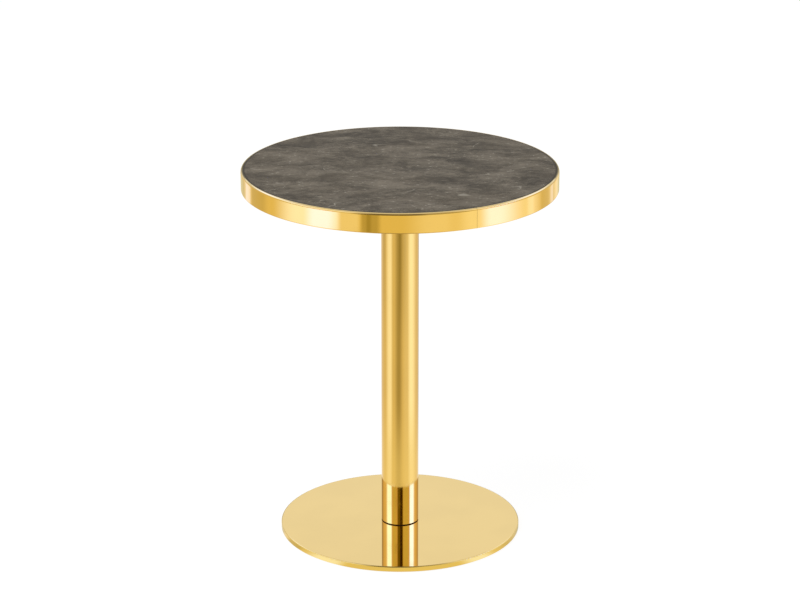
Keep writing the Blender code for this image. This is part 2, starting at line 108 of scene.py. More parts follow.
class Graph:
    """Adds and links the nodes of one shader tree."""

    def __init__(self, owner: bpy.types.Material | bpy.types.World) -> None:
        """Starts the owner's tree from nothing.

        Args:
            owner: The material or world that is laid out.
        """
        owner.use_nodes = True
        self.tree = owner.node_tree
        self.tree.nodes.clear()

    def node(self, kind: str, inputs: dict[str | int, object] | None = None,
             **settings: object) -> Node:
        """Adds a node.

        Args:
            kind: The node's type, without the prefix that all of them share.
            inputs: A value or a socket to link, by the input's name or number.
            settings: The node's own options.

        Returns:
            The new node.
        """
        made = self.tree.nodes.new("ShaderNode" + kind)
        for option, value in settings.items():
            setattr(made, option, value)
        for key, value in (inputs or {}).items():
            if isinstance(value, Socket):
                self.tree.links.new(value, made.inputs[key])
            else:
                made.inputs[key].default_value = value
        return made

    def math(self, operation: str, *values: float | Socket) -> Socket:
        """One Math node on up to three values."""
        return self.node("Math", dict(enumerate(values)), operation=operation).outputs[0]

    def vector(self, operation: str, *values: Colour | Socket) -> Node:
        """One Vector Math node on up to three vectors."""
        return self.node("VectorMath", dict(enumerate(values)), operation=operation)

    def remap(self, value: Socket, between: Pair, result: Pair = (0.0, 1.0), smooth: bool = True) -> Socket:
        """Maps a value from one range to another and holds it there.

        Args:
            value: What is mapped.
            between: The range that it comes from.
            result: What the ends of that range become.
            smooth: Whether the change eases in and out.

        Returns:
            The mapped value.
        """
        inputs = dict(enumerate((value, *between, *result)))
        kind = "SMOOTHSTEP" if smooth else "LINEAR"
        return self.node("MapRange", inputs, interpolation_type=kind, clamp=True).outputs[0]

    def window(self, value: Socket, stops: Sequence[float]) -> Socket:
        """A share that is 1 between two values and dies away on both sides.

        Args:
            value: The value that decides.
            stops: Where the share starts, reaches 1, leaves 1 and ends.

        Returns:
            The share.
        """
        risen = self.remap(value, stops[:2])
        left = self.remap(value, stops[2:], (1.0, 0.0))
        return self.math("MULTIPLY", risen, left)

    def where(self) -> Socket:
        """The surface's own coordinates, in metres."""
        return self.node("TexCoord").outputs["Object"]

    def stretched(self, scale: tuple[float, float, float]) -> Socket:
        """The surface's coordinates, scaled along each axis."""
        return self.node("Mapping", {"Vector": self.where(), "Scale": scale}).outputs[0]

    def noise(self, where: Socket, scale: float, detail: float, roughness: float = 0.5,
              distortion: float = 0.0) -> Socket:
        """Fractal noise about one half.

        Args:
            where: The coordinates that it reads.
            scale: How many features there are to a unit.
            detail: How many finer layers it has.
            roughness: How strong the finer layers are.
            distortion: How far it swirls.

        Returns:
            The noise's value.
        """
        inputs = {
            "Vector": where, "Scale": scale, "Detail": detail, "Roughness": roughness,
            "Distortion": distortion,
        }
        return self.node("TexNoise", inputs).outputs[0]

    def blend(self, factor: Socket, first: Colour | Socket, second: Colour | Socket) -> Socket:
        """Mixes two colours.

        Args:
            factor: The share of the second.
            first: The colour at 0.
            second: The colour at 1.

        Returns:
            The mixed colour.
        """
        shades = [shade if isinstance(shade, Socket) else (*shade, 1.0) for shade in (first, second)]
        inputs = {0: factor, 6: shades[0], 7: shades[1]}
        return self.node("Mix", inputs, data_type="RGBA").outputs[2]

    def bump(self, height: Socket, distance: float, strength: float = 1.0) -> Socket:
        """Turns a height into a normal.

        Args:
            height: The relief, from 0 to 1.
            distance: How deep the relief is, in metres.
            strength: How much of it shows.

        Returns:
            The bumped normal.
        """
        inputs = {"Height": height, "Distance": distance, "Strength": strength}
        return self.node("Bump", inputs).outputs[0]

    def either(self, share: Socket, first: Node, second: Node) -> Node:
        """Mixes two shaders by the share of the second."""
        return self.node("MixShader", {0: share, 1: first.outputs[0], 2: second.outputs[0]})

    def surface(self, inputs: dict[str | int, object]) -> None:
        """Ends the tree in a Principled shader with these inputs."""
        shader = self.node("BsdfPrincipled", inputs)
        self.node("OutputMaterial", {"Surface": shader.outputs[0]})


# Finishes

# Shares and ranges of their layers
NOISE_MIDDLE = 0.5
LINE_SHARE = 0.8
# Between which upward slopes of a face the gold's painted top highlight comes in
TOP_SHEEN_RISE = (0.55, 0.85)
THIN_PLATING = 0.97
STONE_STREAKS = (0.65, 1.0, 1.0)
MOTTLE_SHARE = 0.66
HAIR_WIDTH = 0.006
HAIR_SHARE = 0.8
JOINT_SHADE_SHARE = 0.85
GRIT_SHARE = 0.05
GRIT_STRENGTH = 0.3
LEAST_DUST = 0.15
TURNING_LINES = (120.0, 120.0, 2600.0)


class Grain(Enum):
    """Which way a metal's polishing lines run."""

    AROUND = "around the piece"
    ALONG = "up the piece"
    SPUN = "in rings on a flat face"

    def coordinates(self, graph: Graph, fine: float, slow: float) -> Socket:
        """Coordinates that change fast across the lines and slowly along them.

        Args:
            graph: The tree that gets the nodes.
            fine: Lines to a metre across the grain.
            slow: Features to a metre along it.

        Returns:
            The coordinates.
        """
        if self is Grain.AROUND:
            return graph.stretched((slow, slow, fine))
        if self is Grain.ALONG:
            return graph.stretched((fine, fine, slow))
        radius = graph.vector("LENGTH", graph.stretched((fine, fine, 0.0)))
        rings = graph.node("CombineXYZ", {"Z": radius.outputs["Value"]})
        return graph.vector("ADD", graph.stretched((slow, slow, 0.0)), rings.outputs[0]).outputs[0]


@dataclass(frozen=True)
class Finish:
    """A surface finish.

    Attributes:
        name: The material's name.
        slot: The record's slot that it stands for; not used.
        roughness: Its lowest and highest roughness.
        relief: How deep its fine relief is, in metres.
    """

    name: str
    slot: str
    roughness: Pair
    relief: float

    def paint(self, graph: Graph) -> None:
        """Lays out the finish's nodes in a tree; each kind of finish has its own."""
        raise NotImplementedError

    @cache
    def material(self) -> bpy.types.Material:
        """Makes the finish's material, once.

        Returns:
            The material.
        """
        made = bpy.data.materials.new(self.name)
        self.paint(Graph(made))
        return made


@dataclass(frozen=True)
class PolishedGold(Finish):
    """Gold-plated steel, buffed to a mirror.

    Attributes:
        colour: The plating's colour on upright faces.
        painted_top_sheen: A painted highlight: a paler colour on faces that look up, standing in for the
            bright light that they mirror from above.
        grain: Which way it was buffed.
    """

    colour: Colour
    painted_top_sheen: Colour
    grain: Grain

    def paint(self, graph: Graph) -> None:
        """Fine buffing lines, soft hand haze, a slight drift of tone, and a painted highlight on faces that
        look up.

        Args:
            graph: The tree that gets the nodes.
        """
        grain = self.grain.coordinates(graph, fine=900.0, slow=6.0)
        lines = graph.noise(grain, scale=1.0, detail=3.0, roughness=0.6)
        drift = graph.noise(graph.where(), scale=9.0, detail=2.0)
        marks = graph.noise(graph.where(), scale=34.0, detail=5.0, roughness=0.62, distortion=0.4)
        hazy = graph.remap(marks, (0.46, 0.78), self.roughness)
        uneven = graph.math("SUBTRACT", lines, NOISE_MIDDLE)
        rough = graph.math("MULTIPLY_ADD", uneven, self.roughness[0] * LINE_SHARE, hazy)
        normal = graph.node("NewGeometry").outputs["Normal"]
        up = graph.node("SeparateXYZ", {0: normal}).outputs["Z"]
        # Painted highlight: faces that look up turn to a paler gold, standing in for the bright light above
        # that they mirror
        plating_and_sheen = graph.blend(graph.remap(up, TOP_SHEEN_RISE), self.colour, self.painted_top_sheen)
        thin = graph.remap(drift, (0.35, 0.65), (THIN_PLATING, 1.0))
        graph.surface({
            "Base Color": graph.vector("MULTIPLY", plating_and_sheen, thin).outputs[0],
            "Metallic": 1.0,
            "Roughness": rough,
            "Normal": graph.bump(lines, self.relief),
        })


@dataclass(frozen=True)
class HonedStone(Finish):
    """Dark grey-brown stone, honed to a satin, with clouds, wisps, pale flecks, a few hair veins and a
    painted shade along its edge.

    Attributes:
        dark: Colour of the darkest clouds.
        light: Colour of the lightest clouds.
        wisp: Colour of the pale wisps.
        vein: Colour of the flecks and veins.
        joint_shade: From where to where a painted shade darkens its edge, standing in for the shadow in the
            joint under the rim's lip.
    """

    dark: Colour
    light: Colour
    wisp: Colour
    vein: Colour
    joint_shade: Pair

    def paint(self, graph: Graph) -> None:
        """Layers the clouds, wisps, flecks and veins, from coarse to fine.

        Args:
            graph: The tree that gets the nodes.
        """
        streaked = graph.stretched(STONE_STREAKS)
        clouds = graph.noise(streaked, scale=9.0, detail=4.0, roughness=0.55, distortion=0.4)
        wisps = graph.noise(streaked, scale=21.0, detail=9.0, roughness=0.64, distortion=0.5)
        mottle = graph.noise(streaked, scale=110.0, detail=6.0, roughness=0.7)
        specks = graph.noise(streaked, scale=210.0, detail=2.0)
        grit = graph.noise(graph.where(), scale=520.0, detail=3.0, roughness=0.7)
        crack = graph.noise(streaked, scale=7.0, detail=3.0, distortion=0.3)
        reach = graph.noise(graph.where(), scale=15.0, detail=2.0)
        body = graph.blend(graph.remap(clouds, (0.35, 0.65)), self.dark, self.light)
        uneven = graph.math("SUBTRACT", mottle, NOISE_MIDDLE)
        smoke = graph.math("MULTIPLY_ADD", uneven, MOTTLE_SHARE, wisps)
        body = graph.blend(graph.remap(smoke, (0.345, 0.72), smooth=False), body, self.wisp)
        gap = graph.math("ABSOLUTE", graph.math("SUBTRACT", crack, NOISE_MIDDLE))
        hair = graph.remap(gap, (0.0, HAIR_WIDTH), (HAIR_SHARE, 0.0))
        veins = graph.math("MULTIPLY", hair, graph.remap(reach, (0.53, 0.62)))
        sown = graph.remap(smoke, (0.46, 0.60))
        flecks = graph.math("MULTIPLY", graph.remap(specks, (0.62, 0.70)), sown)
        body = graph.blend(graph.math("MAXIMUM", veins, flecks), body, self.vein)
        # Painted shade: the slab darkens towards its edge, as if the rim's lip shaded the joint
        around = graph.vector("LENGTH", graph.stretched((1.0, 1.0, 0.0))).outputs["Value"]
        body = graph.blend(graph.remap(around, self.joint_shade, (0.0, JOINT_SHADE_SHARE)), body, self.dark)
        satin = graph.remap(wisps, (0.35, 0.7), self.roughness)
        graph.surface({
            "Base Color": body,
            "Roughness": graph.math("MULTIPLY_ADD", grit, GRIT_SHARE, satin),
            "Normal": graph.bump(grit, self.relief, GRIT_STRENGTH),
        })


@dataclass(frozen=True)
class Speckled(Finish):
    """A coated or moulded surface: one colour with a fine fleck, and a fine relief.

    Attributes:
        colour: Its main colour.
        fleck: The colour that it drifts towards.
        scale: Features of its relief to a metre.
    """

    colour: Colour
    fleck: Colour
    scale: float

    def paint(self, graph: Graph) -> None:
        """A fine relief, with larger dusty patches.

        Args:
            graph: The tree that gets the nodes.
        """
        relief = graph.noise(graph.where(), self.scale, detail=3.0, roughness=0.55)
        dust = graph.noise(graph.where(), scale=28.0, detail=5.0, roughness=0.6, distortion=0.3)
        share = graph.math("MULTIPLY", graph.remap(dust, (0.4, 0.75), (LEAST_DUST, 1.0)), relief)
        graph.surface({
            "Base Color": graph.blend(share, self.colour, self.fleck),
            "Roughness": graph.remap(dust, (0.3, 0.7), self.roughness),
            "Normal": graph.bump(relief, self.relief),
        })


@dataclass(frozen=True)
class PlainSteel(Finish):
    """Bare or zinc-plated steel, with turning lines and a stained drift of tone.

    Attributes:
        colour: Its main colour.
        stain: The colour of its thicker or passivated patches.
    """

    colour: Colour
    stain: Colour

    def paint(self, graph: Graph) -> None:
        """Turning lines over cloudy stains.

        Args:
            graph: The tree that gets the nodes.
        """
        stains = graph.noise(graph.where(), scale=160.0, detail=4.0, roughness=0.6, distortion=0.5)
        lines = graph.noise(graph.stretched(TURNING_LINES), scale=1.0, detail=2.0)
        graph.surface({
            "Base Color": graph.blend(graph.remap(stains, (0.35, 0.7)), self.colour, self.stain),
            "Metallic": 1.0,
            "Roughness": graph.remap(stains, (0.3, 0.7), self.roughness),
            "Normal": graph.bump(lines, self.relief),
        })


# Each gold's second colour is a painted highlight for faces that look up
RIM_GOLD = PolishedGold(
    "buffed_rim_gold", "rim_gold", (0.045, 0.095), 0.0012 * MM,
    (0.755, 0.460, 0.092), (0.840, 0.670, 0.330), Grain.AROUND,
)
COLUMN_GOLD = PolishedGold(
    "buffed_column_gold", "column_gold", (0.055, 0.105), 0.0008 * MM,
    (0.755, 0.460, 0.097), (0.755, 0.460, 0.097), Grain.ALONG,
)
BASE_GOLD = PolishedGold(
    "mirror_base_gold", "base_gold", (0.018, 0.033), 0.0002 * MM,
    (0.775, 0.515, 0.110), (0.828, 0.613, 0.238), Grain.SPUN,
)
STONE = HonedStone(
    "honed_grey_stone", "honed_stone", (0.055, 0.095), 0.006 * MM, (0.042, 0.030, 0.015),
    (0.092, 0.070, 0.042), (0.235, 0.195, 0.140), (0.42, 0.38, 0.31), (290.6 * MM, 293.6 * MM),
)
BOARD = Speckled(
    "sealed_black_board", "sealed_board", (0.55, 0.8), 0.03 * MM,
    (0.022, 0.019, 0.017), (0.055, 0.047, 0.040), 900.0,
)
BLACK_COAT = Speckled(
    "black_powder_coat", "black_coat", (0.38, 0.55), 0.05 * MM,
    (0.016, 0.016, 0.017), (0.035, 0.035, 0.036), 1400.0,
)
# Painted shade: the ring is tinted the brown of gold in shadow, standing in for the dark gap under the
# tube's foot rather than black rubber's own colour
RUBBER_WITH_PAINTED_SHADE = Speckled(
    "rubber_ring_painted_shade", "black_rubber", (0.7, 0.9), 0.02 * MM,
    (0.070, 0.024, 0.002), (0.090, 0.040, 0.006), 2400.0,
)
BLACK_NYLON = Speckled(
    "moulded_black_nylon", "black_nylon", (0.42, 0.6), 0.03 * MM,
    (0.018, 0.018, 0.018), (0.040, 0.040, 0.040), 1900.0,
)
BARE_STEEL = PlainSteel(
    "turned_bare_steel", "bare_steel", (0.28, 0.45), 0.004 * MM, (0.46, 0.45, 0.43), (0.33, 0.31, 0.28),
)
ZINC = PlainSteel(
    "bright_zinc_plate", "zinc_plate", (0.2, 0.36), 0.002 * MM, (0.64, 0.64, 0.62), (0.55, 0.56, 0.58),
)


# Lofting


@dataclass(frozen=True)
class Span:
    """Where a CAD node lies.

    Attributes:
        middle: The point on the floor under its axis.
        radius: Half its width along X.
        under: Its lowest height.
        top: Its highest height.
    """

    middle: Vector
    radius: float
    under: float
    top: float

    @classmethod
    def of(cls, node: str) -> "Span":
        """Reads a node's box from the frame.

        Args:
            node: The node's name.

        Returns:
            Where it lies.
        """
        low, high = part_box(node)
        middle = Vector(((low.x + high.x) / 2, (low.y + high.y) / 2, 0.0))
        return cls(middle, (high.x - low.x) / 2, low.z, high.z)

    @classmethod
    def row(cls, stem: str, count: int) -> "list[Span]":
        """Reads the boxes of nodes that are numbered from 1 up."""
        return [cls.of(f"{stem}_{i + 1}") for i in range(count)]


def arc(centre: Point, radius: float, start: float, end: float, step: float = ARC_STEP) -> list[Point]:
    """Points on an arc of an outline.

    Args:
        centre: The arc's centre, as radius and height.
        radius: Its radius.
        start: Where it starts, in degrees, with 0 outwards and 90 up.
        end: Where it ends.
        step: The largest turn between two points.

    Returns:
        The points, with both ends.
    """
    count = max(1, round(abs(end - start) / step))
    turns = [math.radians(start + (end - start) * i / count) for i in range(count + 1)]
    return [(centre[0] + radius * math.cos(t), centre[1] + radius * math.sin(t)) for t in turns]


def plain(points: Sequence[Point]) -> list[Ring]:
    """A round ring at each point of an outline."""
    return [lambda _, point=point: point for point in points]


def cross(length: float, width: float, height: float) -> Ring:
    """A cross-shaped ring, as in a cross recess.

    Args:
        length: From the middle to an arm's end.
        width: Half an arm's width.
        height: Its height.

    Returns:
        The ring.
    """
    quarter = math.tau / 4

    def ring(bearing: float) -> Point:
        """The arm's end or side, whichever is nearer, at a bearing."""
        turn = abs((bearing + quarter / 2) % quarter - quarter / 2)
        return min(length / math.cos(turn), width / max(math.sin(turn), WELD)), height

    return ring


@dataclass(frozen=True)
class KeySocket:
    """A six-sided socket for a key.

    Attributes:
        flats: Its width across flats.
        depth: Its depth.
    """

    flats: float
    depth: float

    def hexagon(self, height: float) -> Ring:
        """The ring of its six sides at a height."""
        sixth = math.tau / 6
        return lambda bearing: (self.flats / 2 / math.cos(bearing % sixth - sixth / 2), height)

    def rings(self, face: float) -> list[Ring]:
        """Its rings, from the middle of its floor to the height of the face that it opens in."""
        floor = face + self.depth
        return [*plain([(0.0, floor)]), self.hexagon(floor), self.hexagon(face)]


@dataclass(frozen=True)
class Thread:
    """A screw thread.

    Attributes:
        radius: Its radius over the crests.
        depth: How deep it is cut.
        pitch: The rise of one turn.
    """

    radius: float
    depth: float
    pitch: float

    def rings(self, low: float, high: float) -> list[Ring]:
        """The thread's rings; it fades in and out over a turn.

        Args:
            low: The height where it starts.
            high: The height where it ends.

        Returns:
            The rings, from low to high.
        """
        count = max(2, round(abs(high - low) / self.pitch * THREAD_STEPS))

        def ring(height: float, depth: float, bearing: float) -> Point:
            """The flank's radius at a bearing, on a ring at this height with this depth of cut."""
            phase = (height / self.pitch - bearing / math.tau) % 1.0
            return self.radius - depth * abs(2.0 * phase - 1.0), height

        rings = []
        for i in range(count + 1):
            height = low + (high - low) * i / count
            fade = min(1.0, abs(height - low) / self.pitch, abs(high - height) / self.pitch)
            rings.append(partial(ring, height, self.depth * fade))
        return rings


M8_THREAD = Thread(4.0 * MM, 0.6 * MM, 1.25 * MM)


def lofted(name: str, rings: Sequence[Ring], sides: int, looped: bool = False,
           slit: Pair | None = None) -> Mesh:
    """Skins a stack of rings into one closed mesh.

    Args:
        name: The mesh's name.
        rings: The rings in order; those of radius 0 close on the axis.
        sides: How many sides each ring has.
        looped: Whether the last ring joins the first.
        slit: Bearing and width of an upright gap, whose two faces are closed.

    Returns:
        The mesh, smooth except along its sharp edges.
    """
    start, sweep, extra = 0.0, math.tau, 0
    if slit is not None:
        middle, width = slit
        half_angle = width / 2 / max(ring(0.0)[0] for ring in rings)
        start, sweep, extra = middle + half_angle, math.tau - 2 * half_angle, 1
    bearings = [start + sweep * i / sides for i in range(sides + extra)]
    shape = bmesh.new()
    rows = []
    for ring in rings:
        places = [(ring(bearing), bearing) for bearing in bearings]
        rows.append([
            shape.verts.new((radius * math.sin(bearing), -radius * math.cos(bearing), height))
            for (radius, height), bearing in places
        ])
    for row, below in zip(rows, rows[1:] + rows[:1] if looped else rows[1:]):
        for i in range(sides):
            j = (i + 1) % len(bearings)
            shape.faces.new((row[i], below[i], below[j], row[j]))
    if slit is not None:
        shape.faces.new([row[0] for row in rows])
        shape.faces.new([row[-1] for row in rows])
    bmesh.ops.remove_doubles(shape, verts=shape.verts, dist=WELD)
    bmesh.ops.recalc_face_normals(shape, faces=shape.faces)
    mesh = bpy.data.meshes.new(name)
    shape.to_mesh(mesh)
    shape.free()
    mesh.shade_smooth()
    mesh.set_sharp_from_angle(angle=SHARP_ANGLE)
    return mesh


def eased_tube(name: str, span: Span, wall: float, ease: float) -> Mesh:
    """A tube, or a flat ring, whose outer edges are eased.

    Args:
        name: The mesh's name.
        span: Where it lies.
        wall: Thickness of its wall.
        ease: Radius of its outer edges.

    Returns:
        The mesh.
    """
    edge = span.radius - ease
    inner = span.radius - wall
    outline = [
        (inner, span.top),
        *arc((edge, span.top - ease), ease, 90, 0, TINY_STEP),
        *arc((edge, span.under + ease), ease, 0, -90, TINY_STEP),
        (inner, span.under),
    ]
    return lofted(name, plain(outline), COLUMN_SIDES, looped=True)


def linked(name: str, data: bpy.types.ID) -> Object:
    """Adds an object to the scene.

    Args:
        name: The object's name.
        data: Its mesh, light or camera.

    Returns:
        The object.
    """
    made = bpy.data.objects.new(name, data)
    bpy.context.scene.collection.objects.link(made)
    return made


def add_piece(name: str, mesh: Mesh, finish: Finish, node: str, body: str = TABLE_BODY,
              place: Vector | None = None, flipped: bool = False) -> Object:
    """Puts a mesh on the table in place of a CAD node.

    Args:
        name: The piece's name.
        mesh: Its mesh, which copies may share.
        finish: Its finish.
        node: The node that it stands for.
        body: The body that it rides on.
        place: Where its origin lies.
        flipped: Whether it is turned over.

    Returns:
        The piece.
    """
    piece = linked(name, mesh)
    piece.location = place or Vector()
    piece.rotation_euler.x = math.pi if flipped else 0.0
    if not mesh.materials:
        mesh.materials.append(finish.material())
    piece.modifiers.new("even_normals", "WEIGHTED_NORMAL").keep_sharp = True
    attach(piece, body)
    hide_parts(node)
    return piece


def dress_node(node: str, finish: Finish) -> Object:
    """Gives a CAD node, whose own shape stays, its finish.

    Args:
        node: The node's name.
        finish: Its finish.

    Returns:
        The node's own piece.
    """
    piece = frame["nodes"][node]
    for slot in piece.material_slots:
        slot.material = finish.material()
    return piece


# Sub-assemblies


@dataclass
class TopAssembly:
    """The stone slab, the rolled rim, the board and the plate with its wood screws.

    Attributes:
        stone: Where the slab lies.
        rim: Where the rim lies.
        stone_arris: Radius of the slab's lower edge.
        rim_sheet: Thickness of the rim's sheet.
        rim_lip: Outer radius of the lip that turns in over the slab's rebate.
        lip_turn: How far the lip turns in before its eased edge, in degrees.
        lip_ease: Radius of the lip's free edge and of the slab's edge next to it.
        lip_gap: Width of the joint between lip and slab.
        rim_flange: Width of the flange under the board.
        rim_bend: Inner radius of the flange's bend.
        seam: Bearing, in radians, and width of the butt joint where the band's ends meet.
        screw_count: How many wood screws hold the plate.
        screw_thread: A screw's thread.
        screw_neck: Length of plain shank under the head.
        screw_point: Length of the point.
        screw_head: Height of the head.
        recess_arm: Half length and half width of the recess's arms.
        recess_taper: How much of both is left at the recess's floor.
        recess_depth: Depth of the recess.
    """

    stone: Span = Span.of("stone_top")
    rim: Span = Span.of("rim_band")
    stone_arris: float = 0.8 * MM
    rim_sheet: float = 1.5 * MM
    rim_lip: float = 4.4 * MM
    lip_turn: float = 82.5
    lip_ease: float = 0.3 * MM
    lip_gap: float = 0.3 * MM
    rim_flange: float = 10.0 * MM
    rim_bend: float = 0.5 * MM
    seam: Pair = (math.radians(27.5), 0.4 * MM)
    screw_count: int = 8
    screw_thread: Thread = Thread(2.5 * MM, 0.75 * MM, 2.2 * MM)
    screw_neck: float = 6.0 * MM
    screw_point: float = 5.0 * MM
    screw_head: float = 2.8 * MM
    recess_arm: Pair = (2.3 * MM, 0.5 * MM)
    recess_taper: Pair = (0.45, 0.8)
    recess_depth: float = 1.7 * MM

    def stone_mesh(self) -> Mesh:
        """The slab, rebated above for the lip and eased below.

        Returns:
            The mesh.
        """
        ease = self.lip_ease
        lip = self.rim.radius - self.rim_lip
        rebate = lip - self.lip_gap
        rounding = self.stone.radius - lip
        centre = self.rim.top - self.rim_lip
        edge = self.stone.radius - self.stone_arris
        outline = [
            (0.0, self.stone.top),
            *arc((rebate - ease, self.stone.top - ease), ease, 90, 0, TINY_STEP),
            (rebate, centre + rounding),
            *arc((lip, centre), rounding, 90, 0, SMALL_STEP),
            *arc((edge, self.stone.under + self.stone_arris), self.stone_arris, 0, -90, SMALL_STEP),
            (0.0, self.stone.under),
        ]
        return lofted("stone_slab", plain(outline), WIDE_SIDES)

    def rim_mesh(self) -> Mesh:
        """The channel: a lip turned in over the rebate, a plain wall and a flange under the board.

        Returns:
            The mesh.
        """
        ease = self.lip_ease
        sheet = self.rim_sheet
        outside = self.rim_bend + sheet
        lip = (self.rim.radius - self.rim_lip, self.rim.top - self.rim_lip)
        bend = (self.rim.radius - outside, self.rim.under + outside)
        flange = self.rim.radius - self.rim_flange
        outline = [
            *arc((lip[0] + ease, self.rim.top - ease), ease, 180, 90, EASE_STEP),
            *arc(lip, self.rim_lip, self.lip_turn, 0, LIP_STEP),
            *arc(bend, outside, 0, -90),
            (flange, self.rim.under),
            (flange, self.rim.under + sheet),
            *arc(bend, self.rim_bend, -90, 0, TINY_STEP),
            *arc(lip, self.rim_lip - sheet, 0, 90, SMALL_STEP),
        ]
        return lofted("rolled_rim", plain(outline), WIDE_SIDES, looped=True, slit=self.seam)

    def screw_mesh(self, screw: Span) -> Mesh:
        """A pan-head wood screw with a cross recess, its point up.

        Args:
            screw: Where the first screw lies.

        Returns:
            The mesh, with its heights as they are on the table.
        """
        length, width = self.recess_arm
        shorter, narrower = self.recess_taper
        shank = self.screw_thread.radius
        seat = screw.under + self.screw_head
        flat = screw.radius - self.screw_head
        neck = seat + self.screw_neck
        point = screw.top - self.screw_point
        rings = [
            *plain([(0.0, screw.under + self.recess_depth)]),
            cross(length * shorter, width * narrower, screw.under + self.recess_depth),
            cross(length, width, screw.under),
            *plain(arc((flat, seat), self.screw_head, -90, 0, HEAD_STEP)),
            *plain([(shank, seat), (shank, neck)]),
            *self.screw_thread.rings(neck, point)[1:],
            *plain([(0.0, screw.top)]),
        ]
        return lofted("plate_wood_screw", rings, SMALL_SIDES)

    def build(self) -> list[Object]:
        """Builds and dresses the top.

        Returns:
            Its pieces.
        """
        screws = Span.row("plate_screw", self.screw_count)
        screw_mesh = self.screw_mesh(screws[0])
        pieces = [
            add_piece("stone_slab", self.stone_mesh(), STONE, "stone_top"),
            add_piece("rolled_rim", self.rim_mesh(), RIM_GOLD, "rim_band"),
            dress_node("top_core", BOARD),
            dress_node("mounting_plate", BLACK_COAT),
        ]
        for number, screw in enumerate(screws, 1):
            node = f"plate_screw_{number}"
            pieces.append(add_piece(f"wood_screw_{number}", screw_mesh, ZINC, node, place=screw.middle))
        return pieces


@dataclass
class ColumnAssembly:
    """The tube, the plugs in its ends, the bolts into them and the ring under its foot.

    Attributes:
        tube: Where the tube lies.
        gasket: Where the ring lies.
        tube_wall: Thickness of the tube's wall.
        tube_ease: Radius of the tube's eased ends.
        gasket_width: Width of the ring.
        gasket_ease: Radius of the ring's edges.
        bolt_count: How many bolts each end has.
        bolt_thread: A bolt's thread.
        bolt_rim: Height of the head's upright edge.
        bolt_chamfer: Chamfer of the bolt's end.
        bolt_socket: The bolt's key socket.
    """

    tube: Span = Span.of("column_tube")
    gasket: Span = Span.of("column_gasket")
    tube_wall: float = 1.5 * MM
    tube_ease: float = 0.25 * MM
    gasket_width: float = 8.2 * MM
    gasket_ease: float = 0.3 * MM
    bolt_count: int = 3
    bolt_thread: Thread = M8_THREAD
    bolt_rim: float = 0.4 * MM
    bolt_chamfer: float = 0.8 * MM
    bolt_socket: KeySocket = KeySocket(5.0 * MM, 2.5 * MM)

    def bolt_mesh(self, name: str, bolt: Span) -> Mesh:
        """A countersunk bolt with a key socket, its head's face at 0 and its end up.

        Args:
            name: The mesh's name.
            bolt: Where the first bolt of the set lies.

        Returns:
            The mesh.
        """
        length = bolt.top - bolt.under
        shank = self.bolt_thread.radius
        cone = self.bolt_rim + bolt.radius - shank
        rings = [
            *self.bolt_socket.rings(0.0),
            *plain([(bolt.radius, 0.0), (bolt.radius, self.bolt_rim)]),
            *self.bolt_thread.rings(cone, length - self.bolt_chamfer),
            *plain([(shank - self.bolt_chamfer, length), (0.0, length)]),
        ]
        return lofted(name, rings, SMALL_SIDES)

    def build(self) -> list[Object]:
        """Builds and dresses the column.

        Returns:
            Its pieces.
        """
        tube = eased_tube("polished_tube", self.tube, self.tube_wall, self.tube_ease)
        ring = eased_tube("foot_ring", self.gasket, self.gasket_width, self.gasket_ease)
        pieces = [
            add_piece("polished_tube", tube, COLUMN_GOLD, "column_tube"),
            add_piece("foot_ring", ring, RUBBER_WITH_PAINTED_SHADE, "column_gasket"),
            dress_node("head_plug", BARE_STEEL),
            dress_node("foot_plug", BARE_STEEL),
        ]
        for end in ("head", "foot"):
            bolts = Span.row(f"{end}_bolt", self.bolt_count)
            mesh = self.bolt_mesh(f"{end}_socket_bolt", bolts[0])
            flipped = end == "head"
            for number, bolt in enumerate(bolts, 1):
                place = bolt.middle + Vector((0.0, 0.0, bolt.top if flipped else bolt.under))
                node = f"{end}_bolt_{number}"
                name = f"{end}_socket_bolt_{number}"
                pieces.append(add_piece(name, mesh, ZINC, node, place=place, flipped=flipped))
        return pieces


@dataclass
class BaseAssembly:
    """The spun cover and the steel weight inside it.

    Attributes:
        cover: Where the cover lies.
        sheet: Thickness of the cover's sheet.
        bend: Inner radius of the cover's edge.
        hole: Radius of the hole round the boss.
    """

    cover: Span = Span.of("base_cover")
    sheet: float = 1.2 * MM
    bend: float = 0.8 * MM
    hole: float = 27.3 * MM

    def cover_mesh(self) -> Mesh:
        """The cover: a flat face, a rounded edge and a skirt.

        Returns:
            The mesh.
        """
        outside = self.bend + self.sheet
        centre = (self.cover.radius - outside, self.cover.top - outside)
        skirt = self.cover.radius - self.sheet
        outline = [
            (self.hole, self.cover.top),
            *arc(centre, outside, 90, 0),
            (self.cover.radius, self.cover.under),
            (skirt, self.cover.under),
            *arc(centre, self.bend, 0, 90, SMALL_STEP),
            (self.hole, self.cover.top - self.sheet),
        ]
        return lofted("spun_cover", plain(outline), WIDE_SIDES, looped=True)

    def build(self) -> list[Object]:
        """Builds and dresses the base.

        Returns:
            Its pieces.
        """
        return [
            add_piece("spun_cover", self.cover_mesh(), BASE_GOLD, "base_cover"),
            dress_node("base_weight", BLACK_COAT),
        ]


